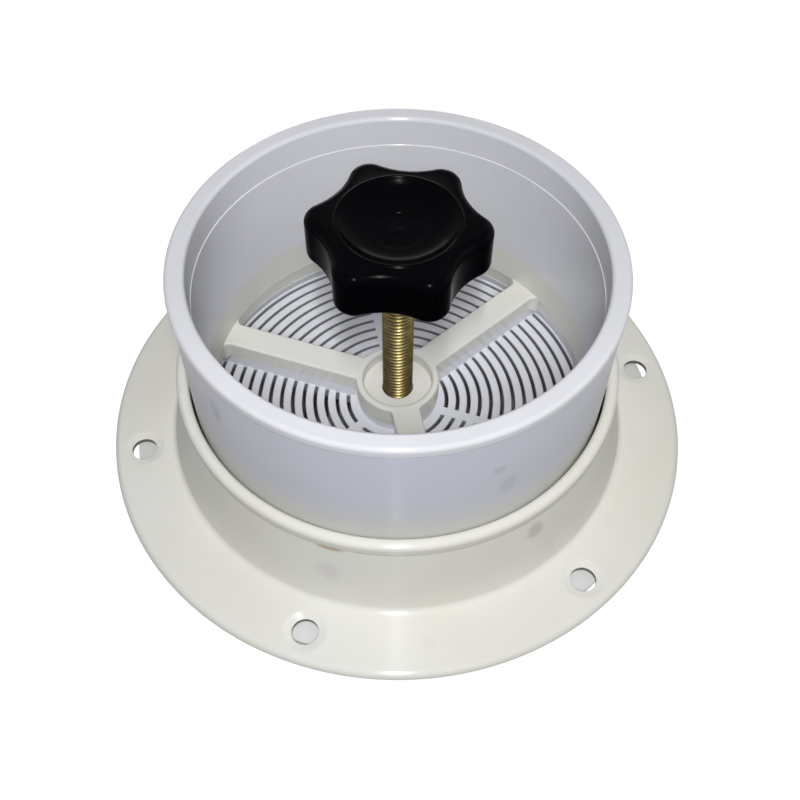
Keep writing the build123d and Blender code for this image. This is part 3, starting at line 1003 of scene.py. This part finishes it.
def grille_skin(sizes):
    """Grille: a turned boss and rim, ribs under the arms and between them, and rings of bars.

    A bar runs along its circle from one rib's flank to the next one's. The flank is at the
    arc sine of the rib's half width over the bar's radius.
    """
    low = grille_box[0].z
    high = grille_box[1].z
    plate = low + plate_thickness
    outer = grille_box[1].x
    bore = rod_box[1].x + rod_clearance
    boss_foot = first_slot - slot_width / 2
    rim_start = first_slot + (slot_count - 1) * slot_pitch + slot_width / 2
    pocket_floor = low + nut_floor
    boss_path, boss_facing = rounded([
        (bore, low),
        (boss_foot, low),
        (boss_foot, plate, bar_round),
        (boss_radius, plate),
        (boss_radius, high),
        (nut_pocket, high, 0),
        (nut_pocket, pocket_floor, 0),
        (bore, pocket_floor),
    ])
    rows, normals = swept(boss_path, boss_facing, sizes.columns)
    corner_turn = np.pi / 6
    flat = 1 / np.cos(round_axis(sizes.columns) % (2 * corner_turn) - corner_turn)
    pocket = np.isclose(boss_path[:, 0], nut_pocket)
    rows[pocket, :, :2] *= flat[:, None]
    boss = tube_skin(rows, normals)
    rim = turned_skin([
        (rim_start, low),
        (outer, low),
        (outer, high),
        (ring_foot_bore, high, 2 * tiny_round),
        (rim_foot_radius, plate),
        (rim_start, plate),
    ], sizes.columns)
    rib_turns = arm_turns()
    mid_turns = rib_turns + np.pi / arm_count
    rib_low = low + 2 * shell_step
    rib_foot = rib_width / 2 + rib_ledge
    ledge = plate - shell_step
    rib = rounded([
        (-rib_foot, rib_low),
        (rib_foot, rib_low),
        (rib_foot, ledge, ledge_round),
        (rib_width / 2, ledge, ledge_round),
        (rib_width / 2, high - shell_step),
        (-rib_width / 2, high - shell_step),
        (-rib_width / 2, ledge, ledge_round),
        (-rib_foot, ledge, ledge_round),
    ], steps=3)
    mid_rib = section(mid_rib_width / 2, rib_low, mid_rib_width / 2, ledge, bar_round / 2)
    rib_reach = np.linspace((rim_foot_radius + outer) / 2, boss_radius - bar_bite, 4)
    mid_reach = np.linspace(rim_start + bar_bite, boss_foot - bar_bite, 4)
    straight = np.zeros(4)
    ribs = bar_skins(*radial_bars(rib_reach, straight, *rib, rib_turns))
    mid_ribs = bar_skins(*radial_bars(mid_reach, straight, *mid_rib, mid_turns))
    radii = first_slot + slot_pitch * (np.arange(slot_count - 1) + 0.5)
    half_bar = (slot_pitch - slot_width) / 2 + bar_spread
    bar = section(half_bar - bar_draft, low, half_bar, plate - 2 * shell_step, bar_round)
    from_arm = np.arcsin((rib_foot - bar_bite) / radii)
    from_mid = np.arcsin((mid_rib_width / 2 - bar_bite) / radii)
    before = [rib_turns[:, None] + from_arm, mid_turns[:, None] + from_mid]
    after = [mid_turns[:, None] - from_mid, rib_turns[:, None] + 2 * np.pi / arm_count - from_arm]
    bars = bar_skins(*arc_bars(
        np.tile(radii, 2 * arm_count), np.concatenate(before).ravel(), np.concatenate(after).ravel(),
        *bar, 30))
    return joined(boss, rim, ribs, mid_ribs, bars)


def star_outline(columns):
    """Star of tangent arcs and its normals, as complex numbers: round lobes and wide hollows."""
    tip_radius = star_reach()
    half_step = np.pi / lobe_count
    valley_radius = tip_radius - valley_depth
    tip_centre = tip_radius - tip_round
    slack = tip_round - valley_radius
    valley_centre = (tip_centre**2 - slack**2) / (2 * (slack + tip_centre * np.cos(half_step)))
    valley_round = valley_centre - valley_radius
    towards = valley_centre * np.exp(1j * half_step) - tip_centre
    tip_turn = np.angle(towards)
    valley_turn = tip_turn - half_step
    per_lobe = columns // lobe_count
    tip_steps = per_lobe // 2
    tip_normals = np.exp(1j * np.linspace(-tip_turn, tip_turn, tip_steps, endpoint=False))
    back = half_step + np.pi
    valley_out = np.exp(1j * (back + np.linspace(valley_turn, -valley_turn, per_lobe - tip_steps,
                                                 endpoint=False)))
    lobe = np.concatenate([
        tip_centre + tip_round * tip_normals,
        valley_centre * np.exp(1j * half_step) + valley_round * valley_out,
    ])
    lobe_normals = np.concatenate([tip_normals, -valley_out])
    turns = np.exp(1j * (2 * half_step * np.arange(lobe_count) + np.radians(knob_turn)))[:, None]
    return (turns * lobe).ravel(), (turns * lobe_normals).ravel()


def star_reach():
    """Radius of the knob's tips, from the CAD box and the angle of its farthest lobe."""
    turn = np.radians(knob_turn)
    return tip_round + (knob_box[1].x - tip_round) / np.cos(turn)


def flat_rows(outline, normals, path, facing):
    """Rows of points at a shift along an outline's normals and a height, with their normals."""
    shifted = outline + path[:, :1] * normals
    rows = np.stack([shifted.real, shifted.imag, np.broadcast_to(path[:, 1:], shifted.shape)], -1)
    tilted = facing[:, :1] * normals
    up = np.broadcast_to(facing[:, 1:], tilted.shape)
    return rows, np.stack([tilted.real, tilted.imag, up], -1)


def knob_skin(sizes):
    """Knob from the roof of its bore, round the boss, under and over the star, to the dish.

    Round rows are circles. Star rows are the star's outline, moved in along its normals by
    the edge's round. The dish sinks by its depth times one less the fourth power of the
    radius over the dish's. A bead stands round it as one cosine wave, the dimple in its
    middle falls off in a steep S curve, and the nib in that is a bell curve.
    """
    columns = 40 * lobe_count
    star, star_normals = star_outline(columns)
    unit = star / np.abs(star)
    top = knob_box[1].z
    bottom = top - knob_thickness
    boss_bottom = insert_box[0].z
    bore_roof = insert_box[1].z
    bore = insert_box[1].x
    boss = bore + boss_wall
    under, under_facing = rounded(
        [(0.3 * bore, bore_roof), (bore, bore_roof), (bore, boss_bottom),
         (boss, boss_bottom, boss_round), (boss, bottom, boss_root_round),
         (boss + boss_face, bottom)],
        closed=False, steps=5)
    inset = -knob_edge_round - face_inset
    edge, edge_facing = rounded(
        [(inset, bottom), (0, bottom, knob_edge_round), (0, top, knob_edge_round), (inset, top)],
        closed=False, steps=9)
    stops = [dish_radius + bead_width, dish_radius - bead_width, dimple_radius + dimple_edge,
             dimple_radius - dimple_edge, 2 * nib_radius]
    rings = [np.linspace(*stretch, steps, endpoint=False)
             for *stretch, steps in zip(stops, stops[1:], (30, 10, 14, 6))]
    radius = np.concatenate([*rings, np.linspace(stops[-1], 0.1 * nib_radius, 10)])
    share = np.minimum(radius / dish_radius, 1)
    from_crest = (radius - dish_radius - bead_width / 2) / (bead_width / 2)
    bead = bead_height / 2 * (1 + np.cos(np.pi * np.clip(from_crest, -1, 1)))
    dimple = dimple_depth / (1 + np.exp((radius - dimple_radius) / dimple_softness))
    nib = nib_height * np.exp(-((radius / nib_radius) ** 2))
    height = top - sizes.dish_depth * (1 - share**4) + bead - dimple + nib
    slope = np.gradient(height, radius)
    hollow = np.stack([radius, height], 1)
    hollow_facing = np.stack([-slope, np.ones_like(slope)], 1)
    parts = [
        flat_rows(0 * unit, unit, under, under_facing),
        flat_rows(star, star_normals, edge, edge_facing),
        flat_rows(0 * unit, unit, hollow, hollow_facing),
    ]
    rows = np.concatenate([part[0] for part in parts])
    normals = np.concatenate([part[1] for part in parts])
    return capped_skin(rows, normals)


def rod_skin(sizes):
    """Rod whose radius is a function of height and turn: journal, then a V thread.

    The thread's radius falls from the crest by its depth times a wave of the height over the
    pitch less the turn, flat at crest and root. It fades in over the run-out at both ends.
    """
    low = rod_box[0].z
    high = rod_box[1].z
    crest = rod_box[1].x
    columns = 48
    per_turn = 9
    start = journal_top
    count = int((high - start) / sizes.thread_pitch * per_turn)
    height = np.linspace(start, high, count)[:, None]
    turn = round_axis(columns)[None]
    phase = height / sizes.thread_pitch - turn / (2 * np.pi)
    wave = np.abs(2 * (phase - np.floor(phase)) - 1)
    cut = np.clip((wave - crest_flat) / flank_share, 0, 1)
    fade_in = np.clip((height - start) / thread_runout, 0, 1)
    chamfer = np.clip(1 - (high - height) / thread_runout, 0, 1)
    radius = crest - sizes.thread_depth * np.maximum(cut * fade_in, chamfer)
    threaded = np.stack([radius * np.cos(turn), radius * np.sin(turn),
                         np.broadcast_to(height, radius.shape)], -1)
    across = np.gradient(radius, axis=0) / np.gradient(height, axis=0)
    along = np.gradient(radius, axis=1) / (turn[0, 1] * radius)
    facing = np.stack([np.cos(turn) + along * np.sin(turn), np.sin(turn) - along * np.cos(turn),
                       -across], -1)
    plain, plain_facing = rounded(
        [(0.3 * journal_radius, low), (journal_radius, low, journal_round),
         (journal_radius, start), (crest, start)],
        closed=False, steps=4)
    plain_rows, plain_normals = swept(plain[:-1], plain_facing[:-1], columns)
    rows = np.concatenate([plain_rows, threaded])
    normals = np.concatenate([plain_normals, facing])
    return capped_skin(rows, normals)


def pin_skin():
    """Spring pin along X: a rod with chamfered ends, turned on its side."""
    reach = pin_box[1].x + pin_proud
    height = (pin_box[0].z + pin_box[1].z) / 2
    path, facing = rounded(
        [(0.5 * pin_radius, -reach), (pin_tip, -reach, pin_round / 2),
         (pin_radius, pin_chamfer - reach, pin_round), (pin_radius, reach - pin_chamfer, pin_round),
         (pin_tip, reach, pin_round / 2), (0.5 * pin_radius, reach)],
        closed=False, steps=3)
    points, faces, normals = capped_skin(*swept(path, facing, 32))
    points = points[:, [2, 0, 1]] + [0, 0, height]
    return points, faces, normals[:, [2, 0, 1]]


# Operators

class VENTILATOR_OT_sleeve(Operator):
    """Makes the white sleeve with its beaded rim"""

    bl_idname = "ventilator.sleeve"
    bl_label = "Sleeve"

    def execute(self, context):
        sizes = context.scene.ventilator_sizes
        skin = tube_skin(*swept(*sleeve_outline(sizes), sizes.columns))
        white = finish("sleeve_plastic")
        add_piece("sleeve_skin", skin, white, "housing", "white_plastic", "sleeve")
        return {"FINISHED"}


class VENTILATOR_OT_trim_ring(Operator):
    """Makes the cream trim ring with its six countersunk screw holes"""

    bl_idname = "ventilator.trim_ring"
    bl_label = "Trim ring"

    def execute(self, context):
        skin = ring_skin(context.scene.ventilator_sizes)
        cream = finish("ring_plastic")
        add_piece("cabin_ring_skin", skin, cream, "trim", "cream_plastic", "cabin_ring")
        return {"FINISHED"}


class VENTILATOR_OT_duct(Operator):
    """Dresses the spider, the grille, the screws and the nut between them"""

    bl_idname = "ventilator.duct"
    bl_label = "Spider and grille"

    def execute(self, context):
        sizes = context.scene.ventilator_sizes
        cream = finish("cream_plastic")
        white = finish("white_plastic")
        add_piece("spider_skin", spider_skin(sizes), cream, "housing", "cream_plastic", "spider")
        add_piece("grille_skin", grille_skin(sizes), white, "housing", "white_plastic", "grille")
        dress_nodes({"spider_screws": "steel", "hub_nut": "brass"})
        return {"FINISHED"}


class VENTILATOR_OT_knob(Operator):
    """Makes the black star knob, its pin and its insert"""

    bl_idname = "ventilator.knob"
    bl_label = "Star knob"

    def execute(self, context):
        skin = knob_skin(context.scene.ventilator_sizes)
        add_piece("knob_skin", skin, finish("black_plastic"), "screw", "black_plastic", "knob")
        add_piece("knob_pin_skin", pin_skin(), finish("steel"), "screw", "steel", "knob_pin")
        dress_nodes({"knob_insert": "brass"})
        return {"FINISHED"}


class VENTILATOR_OT_rod(Operator):
    """Makes the threaded brass rod"""

    bl_idname = "ventilator.rod"
    bl_label = "Threaded rod"

    def execute(self, context):
        skin = rod_skin(context.scene.ventilator_sizes)
        add_piece("spindle_skin", skin, finish("brass"), "screw", "brass", "spindle")
        return {"FINISHED"}


class VENTILATOR_OT_weather_side(Operator):
    """Dresses the outer base, the cap and the pieces that close it"""

    bl_idname = "ventilator.weather_side"
    bl_label = "Weather side"

    def execute(self, context):
        smooth_copy("outer_base", finish("weathered_white"), "housing", "white_plastic")
        smooth_copy("cap", finish("weathered_white"), "closure", "white_plastic")
        smooth_copy("cap_seal", finish("seal_rubber"), "closure", "seal_rubber")
        dress_nodes({
            "crown_plug": "weathered_white",
            "thrust_washer": "brass",
            "cap_washer": "brass",
            "end_nut": "brass",
        })
        return {"FINISHED"}


class VENTILATOR_OT_stage(Operator):
    """Makes the floor, the lamps, the surroundings and the camera"""

    bl_idname = "ventilator.stage"
    bl_label = "Studio"

    def execute(self, context):
        studio = context.scene.ventilator_studio
        make_floor()
        make_surroundings(context.scene, studio)
        make_lamps(studio)
        make_camera(context.scene, studio)
        context.scene.view_settings.view_transform = "Standard"
        return {"FINISHED"}


def dress_nodes(slots):
    """Gives CAD nodes the finish of their slots."""
    for node, slot in slots.items():
        mesh = frame["nodes"][node].data
        mesh.materials.clear()
        mesh.materials.append(finish(slot))


# Studio

def seen_rays(tree):
    """One for the rays that show a background: camera, glossy and transmission rays."""
    path = tree.nodes.new("ShaderNodeLightPath").outputs
    glossy = calculated(tree, "MAXIMUM", path["Is Camera Ray"], path["Is Glossy Ray"])
    return calculated(tree, "MAXIMUM", glossy, path["Is Transmission Ray"])


def make_floor():
    """Pale floor as low as the open cap reaches; its own light makes it look white.

    It adds less of that near the object, where a shadow has to show.
    """
    travel = [joint["range_m"][1] for joint in frame["joints"] if joint["name"] == "cap_travel"]
    height = cad_box[0].z - travel[0] - floor_gap
    mesh = bpy.data.meshes.new("floor")
    signs = ((-1, -1), (1, -1), (1, 1), (-1, 1))
    corners = [(x * floor_reach, y * floor_reach, height) for x, y in signs]
    mesh.from_pydata(corners, [], [(0, 1, 2, 3)])
    material, tree, shader, position = new_finish("pale floor")
    mottle = noise(tree, position, 6.0, 2.0)
    away = use_effect(tree, "Place", position, {"Radius from": 0.3, "Radius to": 1.2})["By radius"]
    own_light = ranged(tree, away, 0.0, 1.0, 0.85, 1.0)
    connect(tree, shader, {
        "Base Color": mixed(tree, mottle, tone(168, 168, 168), tone(172, 172, 172)),
        "Roughness": 0.9,
        "Specular IOR Level": 0.1,
        "Emission Color": (1, 1, 1, 1),
        "Emission Strength": calculated(tree, "MULTIPLY", seen_rays(tree), own_light),
    })
    mesh.materials.append(material)
    floor = bpy.data.objects.new("floor", mesh)
    bpy.context.collection.objects.link(floor)


def make_surroundings(scene, studio):
    """Even light from all round, which is seen as white."""
    world = bpy.data.worlds.new("studio")
    scene.world = world
    world.use_nodes = True
    tree = world.node_tree
    connect(tree, tree.nodes["Background"], {
        "Color": (1, 1, 1, 1),
        "Strength": ranged(tree, seen_rays(tree), 0.0, 1.0, studio.ambient, 1.0),
    })


def make_lamps(studio):
    """Area lamps that face the middle of the object."""
    middle = Vector((0, 0, spider_box[1].z))
    for name, (place, size) in LAMPS.items():
        data = bpy.data.lights.new(name, "AREA")
        data.shape = "RECTANGLE"
        data.size, data.size_y = size
        data.energy = getattr(studio, f"{name}_power")
        lamp = bpy.data.objects.new(name, data)
        lamp.location = place
        lamp.rotation_euler = (Vector(place) - middle).to_track_quat("Z", "Y").to_euler()
        bpy.context.collection.objects.link(lamp)


def make_camera(scene, studio):
    """Camera in front of the object, at the photograph's height, that looks at the ring's foot."""
    back = Vector((0, -np.cos(studio.elevation), np.sin(studio.elevation)))
    right = Vector((1, 0, 0))
    up = back.cross(right)
    tilted_right = np.cos(studio.roll) * right + np.sin(studio.roll) * up
    tilted_up = back.cross(tilted_right)
    data = bpy.data.cameras.new("camera")
    data.lens = studio.lens
    data.sensor_width = 36
    camera = bpy.data.objects.new("camera", data)
    turn = Matrix((tilted_right, tilted_up, back)).transposed().to_4x4()
    camera.matrix_world = Matrix.Translation(Vector(camera_aim) + back * studio.distance) @ turn
    bpy.context.collection.objects.link(camera)
    scene.camera = camera


class VENTILATOR_PT_looks(Panel):
    """Lists the steps that dress the ventilator"""

    bl_idname = "VENTILATOR_PT_looks"
    bl_label = "Ventilator"
    bl_space_type = "VIEW_3D"
    bl_region_type = "UI"
    bl_category = "Ventilator"

    def draw(self, context):
        scene = context.scene
        for group in (scene.ventilator_sizes, scene.ventilator_colours, scene.ventilator_studio):
            box = self.layout.box()
            for name in group.__annotations__:
                box.prop(group, name)
        for step in STEPS:
            self.layout.operator(step.bl_idname)


GROUPS = {
    "ventilator_sizes": VentilatorSizes,
    "ventilator_colours": VentilatorColours,
    "ventilator_studio": VentilatorStudio,
}

STEPS = (
    VENTILATOR_OT_trim_ring,
    VENTILATOR_OT_sleeve,
    VENTILATOR_OT_duct,
    VENTILATOR_OT_rod,
    VENTILATOR_OT_knob,
    VENTILATOR_OT_weather_side,
    VENTILATOR_OT_stage,
)


def register():
    """Registers the classes and hangs their settings on the scene."""
    for group in GROUPS.values():
        bpy.utils.register_class(group)
    for step in STEPS:
        bpy.utils.register_class(step)
    bpy.utils.register_class(VENTILATOR_PT_looks)
    for name, group in GROUPS.items():
        setattr(bpy.types.Scene, name, PointerProperty(type=group))


def unregister():
    """Takes away what register made."""
    for name in GROUPS:
        delattr(bpy.types.Scene, name)
    bpy.utils.unregister_class(VENTILATOR_PT_looks)
    for step in reversed(STEPS):
        bpy.utils.unregister_class(step)
    for group in reversed(GROUPS.values()):
        bpy.utils.unregister_class(group)


def main():
    """Runs every step in order."""
    register()
    bpy.ops.ventilator.trim_ring()
    bpy.ops.ventilator.sleeve()
    bpy.ops.ventilator.duct()
    bpy.ops.ventilator.rod()
    bpy.ops.ventilator.knob()
    bpy.ops.ventilator.weather_side()
    bpy.ops.ventilator.stage()


if __name__ == "__main__":
    main()
